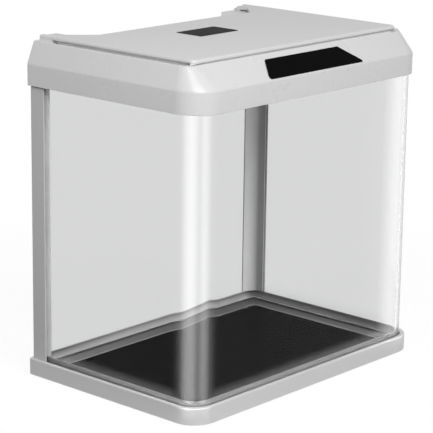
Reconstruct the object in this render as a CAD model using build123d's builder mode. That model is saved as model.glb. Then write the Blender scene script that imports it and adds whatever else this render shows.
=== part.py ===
from build123d import *
import math
import os

# Small aquarium: a bent glass tank in a moulded base frame, a lift-off hood and a flip-up lid.
# Sizes are in millimetres. X runs along the width, Y towards the rear and Z up.
# The origin is on the standing surface, under the middle of the base.

os.makedirs("parts", exist_ok=True)

# Glass box
glass_length = 292.0
glass_depth = 192.0
glass_height = 264.0
glass_thickness = 4.0
glass_bend_radius = 20.0
glass_edge_chamfer = 0.4
glass_fit = 0.3
glass_corner_radius = 1.0
floor_glass_thickness = 4.0

# Base frame
base_rim_width = 3.7
base_height = 15.0
base_corner_radius = 22.0
base_rear_radius = 3.0
base_top_round = 1.2
base_bottom_round = 0.6
base_wall = 2.5
base_seat_height = 8.0
base_floor_height = 3.0
mat_inset = 21.0
mat_thickness = 2.5
mat_corner_radius = 4.0
mat_fit = 0.3

# Feet
foot_height = 1.0
foot_recess = 0.8
foot_radius = 8.0
foot_pad_margin = 1.5
foot_side_inset = 30.0
foot_end_inset = 28.0

# Silicone beads
floor_seal_width = 6.0
floor_seal_height = 6.0
seam_seal_width = 13.0
seam_seal_hollow = 9.0
seal_gap = 0.1
seal_lip = 0.6

# Rear corner posts
post_width = 17.0
post_thickness = 1.2
post_top_gap = 1.0
post_corner_radius = 2.5

# Hood
hood_overlap = 13.0
hood_fit = 1.4
hood_wall = 2.0
hood_corner_radius = 26.0
hood_inner_radius = 23.0
hood_rear_radius = 2.5
skirt_height = 18.6
bevel_height = 19.0
bevel_side = 8.0
bevel_front = 18.9
bevel_wall_side = 2.0
bevel_wall_front = 2.7
hood_top_radius = 10.0
hood_edge_round = 0.5
skirt_line_round = 1.0
rim_edge_round = 0.5
deck_thickness = 2.5
rim_side_width = 1.5
rim_front_width = 4.5
channel_depth = 4.0
rear_deck_depth = 42.4
step_wall = 1.5
slot_inner_reach = 5.0
opening_side_ledge = 18.0
opening_front_ledge = 12.0
opening_rear_ledge = 7.0
opening_radius = 2.0
notch_side_inset = 34.5
notch_slant = 20.0
notch_depth = 17.4
rib_thickness = 2.0
rib_reach = 6.4
rib_height = 5.0
rib_front_spacing = 90.0
rib_side_spacing = 75.0
finger_recess_depth = 1.2

# Lid
lid_side_gap = 6.4
lid_front_setback = 1.0
lid_rear_overlap = 5.0
lid_lift = 1.1
lid_thickness = 3.0
lid_edge_height = 0.7
lid_lip_round = 1.1
lid_lip_turn = 50.0
lid_lip_steps = 4
lid_corner_radius = 5.0
lid_notch_radius = 2.0
lid_rib_thickness = 1.5
lid_rib_inset = 2.0
lid_rib_front_gap = 4.0
lid_rib_rear_gap = 7.0
lid_seat_gap = 0.3
front_rib_end_inset = 10.5
front_rib_setback = 0.5

# Lid hinge
ear_root_width = 37.0
knuckle_length = 11.0
ear_straight = 11.0
knuckle_radius = 2.7
hinge_rear_inset = 4.5
hinge_side_gap = 0.5
hinge_pocket_gap = 0.4
boss_depth = 15.4
boss_width = 4.6
boss_round = 1.5
boss_side_gap = 0.5
ear_side_gap = 5.1
stop_height = 1.9
pin_radius = 1.2
pin_running_gap = 0.05
pin_seat_gap = 0.01
pin_in_boss = 3.6
pin_in_ear = 9.0
pin_end_gap = 0.3
block_side_inset = 24.5

# Lamp
lamp_end_gap = 5.0
lamp_width = 21.0
lamp_height = 12.0
lamp_wall = 1.5
lamp_front_gap = 0.5
lamp_tab_length = 10.0
lamp_tab_thickness = 2.0
lens_thickness = 1.5
lens_fit = 0.2
lens_ledge = 1.5
board_thickness = 1.6
board_fit = 0.5
led_size = 5.0
led_height = 1.4
led_spacing = 15.0
screw_radius = 1.5
screw_hole_gap = 0.1
screw_bite = 1.7
screw_head_radius = 2.8
screw_head_height = 1.6
screw_slot_length = 4.0
screw_slot_width = 0.8
screw_slot_depth = 0.7
screw_spacing = 11.0

# Lamp inlet and its inner lead
inlet_side_inset = 28.0
inlet_top_gap = 0.5
inlet_radius = 3.9
inlet_fit = 0.2
inlet_flange_radius = 5.0
inlet_flange_thickness = 1.5
inlet_barrel_length = 12.0
inlet_cut_depth = 6.0
inlet_bore_radius = 2.8
inlet_bore_depth = 10.0
inlet_contact_radius = 1.0
nut_across_flats = 11.0
nut_thickness = 2.0
nut_fit = 0.1
lead_radius = 1.25
lead_bend_radius = 7.4

# Label plates
front_label_thickness = 0.6
front_label_low = 1.6
front_label_high = 21.0
front_label_low_left = -63.0
front_label_low_right = 63.0
front_label_high_left = -54.0
front_label_high_right = 41.5
front_label_radius = 2.5
front_label_tip_radius = 1.2
lid_label_length = 48.0
lid_label_depth = 29.0
lid_label_x = -17.0
lid_label_y = 12.0
lid_label_thickness = 0.4
lid_label_radius = 1.0

# Levels, from the standing surface upwards
base_bottom = foot_height
base_top = base_bottom + base_height
seat_level = base_bottom + base_seat_height
mat_level = seat_level - mat_thickness
foot_top = base_bottom + foot_recess
base_floor_under = base_bottom + base_floor_height
floor_top = seat_level + floor_glass_thickness
seal_top = floor_top + floor_seal_height
glass_top = seat_level + glass_height
hood_bottom = glass_top - hood_overlap
skirt_top = hood_bottom + skirt_height
rim_level = skirt_top + bevel_height
channel_level = rim_level - channel_depth
channel_under = channel_level - deck_thickness
deck_under = rim_level - deck_thickness
lid_under = rim_level + lid_lift
lid_top = lid_under + lid_thickness
hinge_z = lid_top - knuckle_radius
inlet_z = channel_under - nut_across_flats / 2 - inlet_top_gap

# Half sizes seen from above
glass_half_length = glass_length / 2
glass_half_depth = glass_depth / 2
glass_inner_half_length = glass_half_length - glass_thickness
glass_inner_front = glass_thickness - glass_half_depth
rear_glass_front = glass_half_depth - glass_thickness
glass_inner_radius = glass_bend_radius - glass_thickness
recess_half_length = glass_half_length + glass_fit
recess_half_depth = glass_half_depth + glass_fit
recess_radius = glass_bend_radius + glass_fit
base_half_length = recess_half_length + base_rim_width
base_half_depth = recess_half_depth + base_rim_width
hood_inner_half_length = glass_half_length + hood_fit
hood_inner_half_depth = glass_half_depth + hood_fit
hood_half_length = hood_inner_half_length + hood_wall
hood_half_depth = hood_inner_half_depth + hood_wall
rim_half_length = hood_half_length - bevel_side
rim_front = bevel_front - hood_half_depth
channel_half_length = rim_half_length - rim_side_width
channel_front = rim_front + rim_front_width
channel_rear = hood_half_depth - rear_deck_depth
opening_half_length = channel_half_length - opening_side_ledge
lid_half_length = channel_half_length - lid_side_gap
lid_front = rim_front + lid_front_setback
lid_rear = channel_rear + lid_rear_overlap
ear_root = lid_half_length - ear_root_width
ear_outer = lid_half_length - ear_side_gap
knuckle_inner = ear_outer - knuckle_length
boss_inner = ear_outer + boss_side_gap
boss_outer = boss_inner + boss_width
boss_front = hood_half_depth - boss_depth
block_inner = lid_half_length - block_side_inset
hinge_y = hood_half_depth - hinge_rear_inset
notch_outer = lid_half_length - notch_side_inset
notch_inner = notch_outer - notch_slant
notch_front = hood_half_depth - notch_depth
lamp_half_length = block_inner - lamp_end_gap - lamp_tab_length
lamp_length = 2 * lamp_half_length
inlet_x = hood_half_length - inlet_side_inset
mat_half_length = glass_half_length - mat_inset
mat_half_depth = glass_half_depth - mat_inset


def plan_outline(level, half_length, front, rear, front_radius, rear_radius=0.0):
    """Outline seen from above, at one level, with its own radii at the front and the rear."""
    with BuildSketch(Plane.XY.offset(level), mode=Mode.PRIVATE) as plan:
        with Locations((0, (front + rear) / 2)):
            Rectangle(2 * half_length, rear - front)
        fillet(plan.vertices().group_by(Axis.Y)[0], front_radius)
        if rear_radius:
            fillet(plan.vertices().group_by(Axis.Y)[-1], rear_radius)
    return plan.sketch


def block(x_range, y_range, z_range, mode=Mode.ADD):
    """Square block between two values on each axis, added to or cut from the part in hand."""
    size = [max(r) - min(r) for r in (x_range, y_range, z_range)]
    centre = [sum(r) / 2 for r in (x_range, y_range, z_range)]
    with Locations(tuple(centre)):
        Box(*size, mode=mode)


# Base frame: rim, glass seat, recess for the mat and a hollow underside with pads for the feet
with BuildPart() as base_frame:
    extrude(
        plan_outline(
            base_bottom,
            base_half_length,
            -base_half_depth,
            base_half_depth,
            base_corner_radius,
            base_rear_radius,
        ),
        amount=base_height,
    )
    fillet(base_frame.faces().sort_by(Axis.Z)[-1].edges(), base_top_round)
    fillet(base_frame.faces().sort_by(Axis.Z)[0].edges(), base_bottom_round)
    extrude(
        plan_outline(
            seat_level,
            recess_half_length,
            -recess_half_depth,
            recess_half_depth,
            recess_radius,
            glass_corner_radius,
        ),
        amount=base_top - seat_level,
        mode=Mode.SUBTRACT,
    )
    extrude(
        plan_outline(
            mat_level,
            mat_half_length + mat_fit,
            -mat_half_depth - mat_fit,
            mat_half_depth + mat_fit,
            mat_corner_radius,
            mat_corner_radius,
        ),
        amount=mat_thickness,
        mode=Mode.SUBTRACT,
    )
    extrude(
        plan_outline(
            base_bottom,
            base_half_length - base_wall,
            base_wall - base_half_depth,
            base_half_depth - base_wall,
            base_corner_radius - base_wall,
            base_rear_radius / 2,
        ),
        amount=base_floor_height,
        mode=Mode.SUBTRACT,
    )
    with BuildSketch(Plane.XY.offset(foot_top)):
        with GridLocations(
            2 * (base_half_length - foot_side_inset),
            2 * (base_half_depth - foot_end_inset),
            2,
            2,
        ):
            Circle(foot_radius + foot_pad_margin)
    extrude(amount=base_floor_under - foot_top)
base_frame.part.label = "base_frame"
export_step(base_frame.part, "parts/base_frame.step")

# Four round rubber feet under the corner pads
with BuildPart() as base_feet:
    with BuildSketch():
        with GridLocations(
            2 * (base_half_length - foot_side_inset),
            2 * (base_half_depth - foot_end_inset),
            2,
            2,
        ):
            Circle(foot_radius)
    extrude(amount=foot_top)
base_feet.part.label = "base_feet"
export_step(base_feet.part, "parts/base_feet.step")

# Black mat in the recess, flush with the glass seat
with BuildPart() as floor_mat:
    extrude(
        plan_outline(
            mat_level,
            mat_half_length,
            -mat_half_depth,
            mat_half_depth,
            mat_corner_radius - mat_fit,
            mat_corner_radius - mat_fit,
        ),
        amount=mat_thickness,
    )
floor_mat.part.label = "floor_mat"
export_step(floor_mat.part, "parts/floor_mat.step")

# Floor pane, inside the upright panes
with BuildPart() as bottom_glass:
    extrude(
        plan_outline(
            seat_level,
            glass_inner_half_length - glass_fit,
            glass_inner_front + glass_fit,
            rear_glass_front - glass_fit,
            glass_inner_radius - glass_fit,
            glass_corner_radius,
        ),
        amount=floor_glass_thickness,
    )
bottom_glass.part.label = "bottom_glass"
export_step(bottom_glass.part, "parts/bottom_glass.step")

# One pane bent around both front corners, open at the rear
with BuildPart() as bent_glass:
    extrude(
        plan_outline(
            seat_level,
            glass_half_length,
            -glass_half_depth,
            rear_glass_front,
            glass_bend_radius,
        ),
        amount=glass_height,
    )
    extrude(
        plan_outline(
            seat_level,
            glass_inner_half_length,
            glass_inner_front,
            glass_half_depth,
            glass_inner_radius,
        ),
        amount=glass_height,
        mode=Mode.SUBTRACT,
    )
    chamfer(bent_glass.faces().sort_by(Axis.Z)[-1].edges(), glass_edge_chamfer)
bent_glass.part.label = "bent_glass"
export_step(bent_glass.part, "parts/bent_glass.step")

# Flat rear pane, behind the ends of the bent pane
with BuildPart() as rear_glass:
    block(
        (-glass_half_length, glass_half_length),
        (rear_glass_front, glass_half_depth),
        (seat_level, glass_top),
    )
    chamfer(rear_glass.faces().sort_by(Axis.Z)[-1].edges(), glass_edge_chamfer)
rear_glass.part.label = "rear_glass"
export_step(rear_glass.part, "parts/rear_glass.step")

# Silicone bead round the floor pane, sloping down from the glass to the floor
with BuildPart() as floor_seal:
    extrude(
        plan_outline(
            floor_top,
            glass_inner_half_length - seal_gap,
            glass_inner_front + seal_gap,
            rear_glass_front - seal_gap,
            glass_inner_radius - seal_gap,
            glass_corner_radius,
        ),
        amount=floor_seal_height,
    )
    loft(
        [
            plan_outline(
                floor_top,
                glass_inner_half_length - floor_seal_width,
                glass_inner_front + floor_seal_width,
                rear_glass_front - floor_seal_width,
                glass_inner_radius - floor_seal_width,
                glass_corner_radius,
            ),
            plan_outline(
                seal_top,
                glass_inner_half_length - seal_gap - seal_lip,
                glass_inner_front + seal_gap + seal_lip,
                rear_glass_front - seal_gap - seal_lip,
                glass_inner_radius - seal_gap - seal_lip,
                glass_corner_radius,
            ),
        ],
        ruled=True,
        mode=Mode.SUBTRACT,
    )
floor_seal.part.label = "floor_seal"
export_step(floor_seal.part, "parts/floor_seal.step")

# Parts that stand in both rear corners: the silicone seam inside and the post outside
for side, side_name in ((-1, "left"), (1, "right")):
    seam_x = side * (glass_inner_half_length - seal_gap)
    seam_y = rear_glass_front - seal_gap
    with BuildPart() as seam_seal:
        with BuildSketch(Plane.XY.offset(seal_top)):
            with BuildLine():
                Polyline(
                    (seam_x, seam_y - seam_seal_width),
                    (seam_x, seam_y),
                    (seam_x - side * seam_seal_width, seam_y),
                    (seam_x - side * seam_seal_width, seam_y - seal_lip),
                )
                ThreePointArc(
                    (seam_x - side * seam_seal_width, seam_y - seal_lip),
                    (seam_x - side * seam_seal_hollow / 2, seam_y - seam_seal_hollow / 2),
                    (seam_x - side * seal_lip, seam_y - seam_seal_width),
                )
                Line(
                    (seam_x - side * seal_lip, seam_y - seam_seal_width),
                    (seam_x, seam_y - seam_seal_width),
                )
            make_face()
        extrude(amount=hood_bottom - seal_top)
    seam_seal.part.label = f"{side_name}_seam_seal"
    export_step(seam_seal.part, f"parts/{side_name}_seam_seal.step")

    post_x = side * (recess_half_length + post_thickness)
    post_y = recess_half_depth + post_thickness
    with BuildPart() as rear_post:
        with BuildSketch(Plane.XY.offset(base_top)) as post_profile:
            with Locations((post_x - side * post_width / 2, post_y - post_width / 2)):
                Rectangle(post_width, post_width)
            fillet(
                post_profile.vertices().group_by(Axis.Y)[-1].sort_by(Axis.X)[0 if side < 0 else -1],
                post_corner_radius,
            )
            with Locations(
                (
                    post_x - side * (post_thickness + post_width / 2),
                    post_y - post_thickness - post_width / 2,
                )
            ):
                Rectangle(post_width, post_width, mode=Mode.SUBTRACT)
        extrude(amount=hood_bottom - post_top_gap - base_top)
    rear_post.part.label = f"{side_name}_rear_post"
    export_step(rear_post.part, f"parts/{side_name}_rear_post.step")

# Hood: one moulded shell with a skirt, a bevelled top, lid channels, a rear notch and hinge blocks
with BuildPart() as hood_shell:
    extrude(
        plan_outline(
            hood_bottom,
            hood_half_length,
            -hood_half_depth,
            hood_half_depth,
            hood_corner_radius,
            hood_rear_radius,
        ),
        amount=skirt_height - skirt_line_round,
    )
    fillet(hood_shell.faces().sort_by(Axis.Z)[0].edges(), hood_edge_round)
    line_share = skirt_line_round / bevel_height
    edge_share = 1 - rim_edge_round / bevel_height
    bevel_steps = (
        (skirt_top - skirt_line_round, 0, 0),
        (skirt_top + skirt_line_round, line_share, 0),
        (rim_level - rim_edge_round, edge_share, 0),
        (rim_level, 1, rim_edge_round),
    )
    loft(
        [
            plan_outline(
                level,
                hood_half_length - share * bevel_side - inset,
                share * bevel_front - hood_half_depth + inset,
                hood_half_depth,
                hood_corner_radius - share * (hood_corner_radius - hood_top_radius),
                hood_rear_radius,
            )
            for level, share, inset in bevel_steps
        ],
        ruled=True,
    )
    # Hollow of the skirt and of the bevelled top
    extrude(
        plan_outline(
            hood_bottom,
            hood_inner_half_length,
            -hood_inner_half_depth,
            hood_inner_half_depth,
            hood_inner_radius,
            glass_corner_radius,
        ),
        amount=skirt_height,
        mode=Mode.SUBTRACT,
    )
    under_share = (channel_under - skirt_top) / bevel_height
    loft(
        [
            plan_outline(
                skirt_top,
                hood_inner_half_length,
                -hood_inner_half_depth,
                hood_inner_half_depth,
                hood_inner_radius,
                glass_corner_radius,
            ),
            plan_outline(
                channel_under,
                hood_half_length - under_share * bevel_side - bevel_wall_side,
                under_share * bevel_front + bevel_wall_front - hood_half_depth,
                hood_inner_half_depth,
                hood_top_radius,
                glass_corner_radius,
            ),
        ],
        ruled=True,
        mode=Mode.SUBTRACT,
    )
    # Sunk floor around the lid opening, which leaves the channels beside the lid
    extrude(
        plan_outline(
            channel_level,
            channel_half_length,
            channel_front,
            channel_rear,
            hood_top_radius - rim_side_width,
            glass_corner_radius,
        ),
        amount=channel_depth,
        mode=Mode.SUBTRACT,
    )
    extrude(
        plan_outline(
            channel_under,
            opening_half_length,
            channel_front + opening_front_ledge,
            channel_rear - opening_rear_ledge,
            opening_radius,
            opening_radius,
        ),
        amount=deck_thickness,
        mode=Mode.SUBTRACT,
    )
    # Pocket under the rear deck for the lamp, between the two hinge blocks
    block(
        (-block_inner, block_inner),
        (channel_rear + step_wall, hood_inner_half_depth),
        (channel_under, deck_under),
        mode=Mode.SUBTRACT,
    )
    # Notch for hoses at the rear, with slanted ends, through the deck and the wall
    with BuildSketch(Plane.XY.offset(skirt_top)):
        with BuildLine():
            Polyline(
                (-notch_outer, hood_half_depth),
                (-notch_inner, notch_front),
                (notch_inner, notch_front),
                (notch_outer, hood_half_depth),
                close=True,
            )
        make_face()
    extrude(amount=bevel_height, mode=Mode.SUBTRACT)
    # Ribs that rest on the top edge of the glass
    for x in (-rib_front_spacing, 0, rib_front_spacing):
        block(
            (x - rib_thickness / 2, x + rib_thickness / 2),
            (-hood_inner_half_depth - hood_wall / 2, rib_reach - hood_inner_half_depth),
            (glass_top, glass_top + rib_height),
        )
    for side in (-1, 1):
        for y in (-rib_side_spacing / 2, rib_side_spacing / 2):
            block(
                (
                    side * (hood_inner_half_length - rib_reach),
                    side * (hood_inner_half_length + hood_wall / 2),
                ),
                (y - rib_thickness / 2, y + rib_thickness / 2),
                (glass_top, glass_top + rib_height),
            )
        rib_x = side * (block_inner + rib_thickness / 2)
        block(
            (rib_x - rib_thickness / 2, rib_x + rib_thickness / 2),
            (hood_inner_half_depth - rib_reach, hood_inner_half_depth + hood_wall / 2),
            (glass_top, glass_top + rib_height),
        )
        # Channel beside the lid, carried on to the hinge boss
        block(
            (side * (lid_half_length - slot_inner_reach), side * channel_half_length),
            (channel_rear - glass_corner_radius, boss_front),
            (channel_level, rim_level),
            mode=Mode.SUBTRACT,
        )
        # Hinge boss beside the lid's ear, the ear's pocket and the stop behind it
        block(
            (side * boss_inner, side * boss_outer),
            (boss_front, hood_half_depth),
            (channel_level, lid_top),
        )
        boss_top = hood_shell.edges().filter_by(Axis.Y).group_by(Axis.Z)[-1]
        fillet(boss_top.sort_by(Axis.X)[0 if side < 0 else -1], boss_round)
        block(
            (side * (knuckle_inner - hinge_side_gap), side * boss_inner),
            (hinge_y - knuckle_radius - hinge_pocket_gap, hinge_y + knuckle_radius + hinge_pocket_gap),
            (hinge_z - knuckle_radius - hinge_pocket_gap, rim_level),
            mode=Mode.SUBTRACT,
        )
        block(
            (side * (knuckle_inner - hinge_side_gap), side * boss_inner),
            (hinge_y + knuckle_radius + hinge_pocket_gap, hood_half_depth),
            (rim_level, rim_level + stop_height),
        )
        with Locations(
            Location((side * (boss_inner + pin_in_boss / 2), hinge_y, hinge_z), (0, 90, 0))
        ):
            Cylinder(pin_radius + pin_seat_gap, pin_in_boss, mode=Mode.SUBTRACT)
        # Blind holes for the lamp's screws
        for y in (-screw_spacing / 2, screw_spacing / 2):
            screw_x = side * (lamp_half_length + lamp_tab_length / 2)
            screw_y = channel_rear + step_wall + lamp_front_gap + lamp_width / 2 + y
            with Locations((screw_x, screw_y, deck_under + screw_bite / 2)):
                Cylinder(screw_radius + pin_seat_gap, screw_bite, mode=Mode.SUBTRACT)
    # Finger recess in the front rim, under the right end of the lid's lip
    block(
        (lid_half_length - front_rib_end_inset, lid_half_length),
        (rim_front - rim_front_width, channel_front),
        (rim_level - finger_recess_depth, rim_level),
        mode=Mode.SUBTRACT,
    )
    # Hole for the lamp inlet
    with Locations(
        Location((inlet_x, hood_half_depth - hood_wall / 2, inlet_z), (90, 0, 0))
    ):
        Cylinder(inlet_radius + inlet_fit, inlet_cut_depth, mode=Mode.SUBTRACT)
hood_shell.part.label = "hood_shell"
export_step(hood_shell.part, "parts/hood_shell.step")

# Lid: a thin panel with a rounded lip, two hinge ears and ribs on its underside
with BuildPart() as lid_panel:
    extrude(
        plan_outline(lid_under, lid_half_length, lid_front, hinge_y, lid_corner_radius),
        amount=lid_edge_height,
    )
    lip_end = math.radians(lid_lip_turn)
    lip_turns = [lip_end * step / lid_lip_steps for step in range(lid_lip_steps + 1)]
    lip_rises = [math.sin(turn) / math.sin(lip_end) for turn in lip_turns]
    lip_insets = [(1 - math.cos(turn)) / (1 - math.cos(lip_end)) for turn in lip_turns]
    loft(
        [
            plan_outline(
                lid_under + lid_edge_height + (lid_thickness - lid_edge_height) * rise,
                lid_half_length - lid_lip_round * inset,
                lid_front + lid_lip_round * inset,
                hinge_y,
                lid_corner_radius,
            )
            for rise, inset in zip(lip_rises, lip_insets)
        ],
        ruled=True,
    )
    with BuildSketch(Plane.XY.offset(lid_under)) as ear_gap:
        with BuildLine():
            Polyline(
                (-ear_root, lid_rear),
                (ear_root, lid_rear),
                (knuckle_inner, hinge_y - ear_straight),
                (knuckle_inner, hinge_y),
                (-knuckle_inner, hinge_y),
                (-knuckle_inner, hinge_y - ear_straight),
                close=True,
            )
        make_face()
        fillet(ear_gap.vertices().group_by(Axis.Y)[0], lid_notch_radius)
    extrude(amount=lid_thickness, mode=Mode.SUBTRACT)
    for side in (-1, 1):
        # Slice that keeps the ear clear of the hinge boss, and the round knuckle
        block(
            (side * ear_outer, side * (lid_half_length + lid_edge_height)),
            (boss_front - hinge_side_gap, hinge_y),
            (lid_under, lid_top),
            mode=Mode.SUBTRACT,
        )
        knuckle_middle = side * (knuckle_inner + ear_outer) / 2
        with Locations(Location((knuckle_middle, hinge_y, hinge_z), (0, 90, 0))):
            Cylinder(knuckle_radius, knuckle_length)
        bore_length = pin_in_ear + pin_end_gap
        with Locations(
            Location((side * (ear_outer - bore_length / 2), hinge_y, hinge_z), (0, 90, 0))
        ):
            Cylinder(pin_radius + pin_running_gap, bore_length, mode=Mode.SUBTRACT)
        rib_outer = side * (lid_half_length - lid_rib_inset)
        block(
            (rib_outer - side * lid_rib_thickness, rib_outer),
            (channel_front + lid_rib_front_gap, boss_front - lid_rib_rear_gap),
            (channel_level + lid_seat_gap, lid_under),
        )
    block(
        (front_rib_end_inset - lid_half_length, lid_half_length - front_rib_end_inset),
        (lid_front + front_rib_setback, lid_front + front_rib_setback + lid_rib_thickness),
        (rim_level + lid_seat_gap, lid_under),
    )
lid_panel.part.label = "lid_panel"
export_step(lid_panel.part, "parts/lid_panel.step")

# Hinge pins, pressed into the bosses of the hood and running in the ears of the lid
for side, side_name in ((-1, "left"), (1, "right")):
    pin_outer = boss_inner + pin_in_boss - pin_end_gap
    pin_inner = ear_outer - pin_in_ear
    with BuildPart() as hinge_pin:
        with Locations(
            Location((side * (pin_outer + pin_inner) / 2, hinge_y, hinge_z), (0, 90, 0))
        ):
            Cylinder(pin_radius, pin_outer - pin_inner)
    hinge_pin.part.label = f"{side_name}_hinge_pin"
    export_step(hinge_pin.part, f"parts/{side_name}_hinge_pin.step")

# Lamp under the rear deck: tray open at the bottom, with a screw tab at each end
lamp_top = deck_under
lamp_bottom = lamp_top - lamp_height
lamp_y = channel_rear + step_wall + lamp_front_gap + lamp_width / 2
lens_top = lamp_bottom + lens_thickness
board_level = lamp_top - lamp_wall - board_thickness
with BuildPart() as lamp_housing:
    block(
        (-lamp_half_length, lamp_half_length),
        (lamp_y - lamp_width / 2, lamp_y + lamp_width / 2),
        (lamp_bottom, lamp_top),
    )
    with BuildSketch(Plane.XY.offset(lamp_top - lamp_tab_thickness)):
        with Locations((0, lamp_y)):
            Rectangle(lamp_length + 2 * lamp_tab_length, lamp_width)
    extrude(amount=lamp_tab_thickness)
    with BuildSketch(Plane.XY.offset(lamp_bottom)):
        with Locations((0, lamp_y)):
            Rectangle(lamp_length - 2 * lamp_wall, lamp_width - 2 * lamp_wall)
    extrude(amount=lens_thickness, mode=Mode.SUBTRACT)
    with BuildSketch(Plane.XY.offset(lens_top)):
        with Locations((0, lamp_y)):
            Rectangle(
                lamp_length - 2 * lamp_wall - 2 * lens_ledge,
                lamp_width - 2 * lamp_wall - 2 * lens_ledge,
            )
    extrude(amount=lamp_top - lamp_wall - lens_top, mode=Mode.SUBTRACT)
    with Locations((0, lamp_y, lamp_top - lamp_tab_thickness / 2)):
        with GridLocations(lamp_length + lamp_tab_length, screw_spacing, 2, 2):
            Cylinder(screw_radius + screw_hole_gap, lamp_tab_thickness, mode=Mode.SUBTRACT)
lamp_housing.part.label = "lamp_housing"
export_step(lamp_housing.part, "parts/lamp_housing.step")

# Circuit board against the roof of the lamp tray
board_length = lamp_length - 2 * (lamp_wall + lens_ledge + board_fit)
board_width = lamp_width - 2 * (lamp_wall + lens_ledge + board_fit)
with BuildPart() as led_board:
    with BuildSketch(Plane.XY.offset(board_level)):
        with Locations((0, lamp_y)):
            Rectangle(board_length, board_width)
    extrude(amount=board_thickness)
led_board.part.label = "led_board"
export_step(led_board.part, "parts/led_board.step")

# Row of square light-emitting diodes under the board
led_count = int((board_length - led_size) / led_spacing) + 1
with BuildPart() as leds:
    with BuildSketch(Plane.XY.offset(board_level - led_height)):
        with Locations((0, lamp_y)):
            with GridLocations(led_spacing, led_spacing, led_count, 1):
                Rectangle(led_size, led_size)
    extrude(amount=led_height)
leds.part.label = "leds"
export_step(leds.part, "parts/leds.step")

# Diffusing cover in the mouth of the tray, up against its ledge
with BuildPart() as lamp_lens:
    with BuildSketch(Plane.XY.offset(lamp_bottom)):
        with Locations((0, lamp_y)):
            Rectangle(
                lamp_length - 2 * (lamp_wall + lens_fit),
                lamp_width - 2 * (lamp_wall + lens_fit),
            )
    extrude(amount=lens_thickness)
lamp_lens.part.label = "lamp_lens"
export_step(lamp_lens.part, "parts/lamp_lens.step")

# Four screws, up through the tabs of the lamp into the deck of the hood
tab_under = lamp_top - lamp_tab_thickness
with BuildPart() as lamp_screws:
    with BuildSketch(Plane.XY.offset(tab_under)):
        with Locations((0, lamp_y)):
            with GridLocations(lamp_length + lamp_tab_length, screw_spacing, 2, 2):
                Circle(screw_radius)
    extrude(amount=lamp_tab_thickness + screw_bite - pin_seat_gap)
    with BuildSketch(Plane.XY.offset(tab_under - screw_head_height)):
        with Locations((0, lamp_y)):
            with GridLocations(lamp_length + lamp_tab_length, screw_spacing, 2, 2):
                Circle(screw_head_radius)
    extrude(amount=screw_head_height)
    with BuildSketch(Plane.XY.offset(tab_under - screw_head_height)):
        with Locations((0, lamp_y)):
            with GridLocations(lamp_length + lamp_tab_length, screw_spacing, 2, 2):
                Rectangle(screw_slot_length, screw_slot_width)
                Rectangle(screw_slot_width, screw_slot_length)
    extrude(amount=screw_slot_depth, mode=Mode.SUBTRACT)
lamp_screws.part.label = "lamp_screws"
export_step(lamp_screws.part, "parts/lamp_screws.step")

# Round low-voltage inlet in the rear wall of the hood, with its centre contact
inlet_end = hood_half_depth - inlet_barrel_length
with BuildPart() as power_inlet:
    with BuildSketch(Plane.XZ.offset(-inlet_end)):
        with Locations((inlet_x, inlet_z)):
            Circle(inlet_radius)
    extrude(amount=-inlet_barrel_length)
    with BuildSketch(Plane.XZ.offset(-hood_half_depth)):
        with Locations((inlet_x, inlet_z)):
            Circle(inlet_flange_radius)
    extrude(amount=-inlet_flange_thickness)
    with BuildSketch(Plane.XZ.offset(-hood_half_depth - inlet_flange_thickness)):
        with Locations((inlet_x, inlet_z)):
            Circle(inlet_bore_radius)
            Circle(inlet_contact_radius, mode=Mode.SUBTRACT)
    extrude(amount=inlet_bore_depth, mode=Mode.SUBTRACT)
power_inlet.part.label = "power_inlet"
export_step(power_inlet.part, "parts/power_inlet.step")

# Nut that holds the inlet against the wall from inside
with BuildPart() as inlet_nut:
    with BuildSketch(Plane.XZ.offset(nut_thickness - hood_inner_half_depth)):
        with Locations((inlet_x, inlet_z)):
            RegularPolygon(nut_across_flats / 2, 6, major_radius=False)
            Circle(inlet_radius + nut_fit, mode=Mode.SUBTRACT)
    extrude(amount=-nut_thickness)
inlet_nut.part.label = "inlet_nut"
export_step(inlet_nut.part, "parts/inlet_nut.step")

# Lead from the inlet forward and then along to the end of the lamp tray
with BuildPart() as lamp_lead:
    with BuildLine() as lead_path:
        FilletPolyline(
            (inlet_x, inlet_end, inlet_z),
            (inlet_x, lamp_y, inlet_z),
            (lamp_half_length, lamp_y, inlet_z),
            radius=lead_bend_radius,
        )
    with BuildSketch(Plane.XZ.offset(-inlet_end)):
        with Locations((inlet_x, inlet_z)):
            Circle(lead_radius)
    sweep(path=lead_path.line)
lamp_lead.part.label = "lamp_lead"
export_step(lamp_lead.part, "parts/lamp_lead.step")

# Dark plate on the front bevel, its right end slanted
bevel_plane = Plane(
    origin=(0, -hood_half_depth, skirt_top),
    x_dir=(1, 0, 0),
    z_dir=(0, -bevel_height, bevel_front),
)
with BuildPart() as front_label_plate:
    with BuildSketch(bevel_plane):
        with BuildLine():
            FilletPolyline(
                (front_label_low_left, front_label_low),
                (front_label_low_right, front_label_low),
                (front_label_high_right, front_label_high),
                (front_label_high_left, front_label_high),
                radius=(
                    front_label_radius,
                    front_label_tip_radius,
                    front_label_radius,
                    front_label_radius,
                ),
                close=True,
            )
        make_face()
    extrude(amount=front_label_thickness)
front_label_plate.part.label = "front_label_plate"
export_step(front_label_plate.part, "parts/front_label_plate.step")

# Small dark plate on the lid
with BuildPart() as lid_label_plate:
    with BuildSketch(Plane.XY.offset(lid_top)):
        with Locations((lid_label_x, lid_label_y)):
            RectangleRounded(lid_label_length, lid_label_depth, lid_label_radius)
    extrude(amount=lid_label_thickness)
lid_label_plate.part.label = "lid_label_plate"
export_step(lid_label_plate.part, "parts/lid_label_plate.step")
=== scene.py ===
"""Small aquarium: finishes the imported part's pieces and sets up the studio around it."""

import math

import bmesh
import bpy
from bpy.props import FloatProperty, FloatVectorProperty, IntProperty, PointerProperty
from mathutils import Matrix, Vector


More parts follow.
